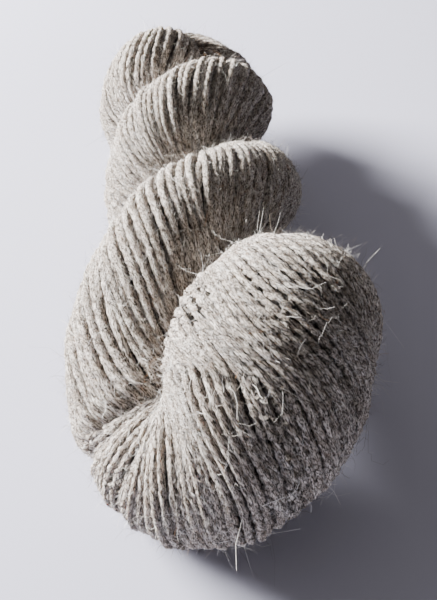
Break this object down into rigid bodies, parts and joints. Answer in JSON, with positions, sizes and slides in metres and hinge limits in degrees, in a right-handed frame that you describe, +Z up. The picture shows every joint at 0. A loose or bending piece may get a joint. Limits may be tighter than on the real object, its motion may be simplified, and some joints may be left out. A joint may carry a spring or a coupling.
{
  "type": "twisted hank of wool yarn",
  "caption": "Twisted hank of undyed grey-beige wool yarn, folded in half, its halves wound round each other and one end loop tucked through the other.",
  "frame": {"origin": "on the surface that the hank lies on, under the middle of its box", "axes": "+Y along the hank, from the near fold to the far tucked loops; +Z up"},
  "size_m": [0.0824, 0.251, 0.0696],
  "materials": {
    "wool": "heathered, fuzzy"
  },
  "bodies": {
    "root": {"hank": "wool"}
  },
  "joints": []
}
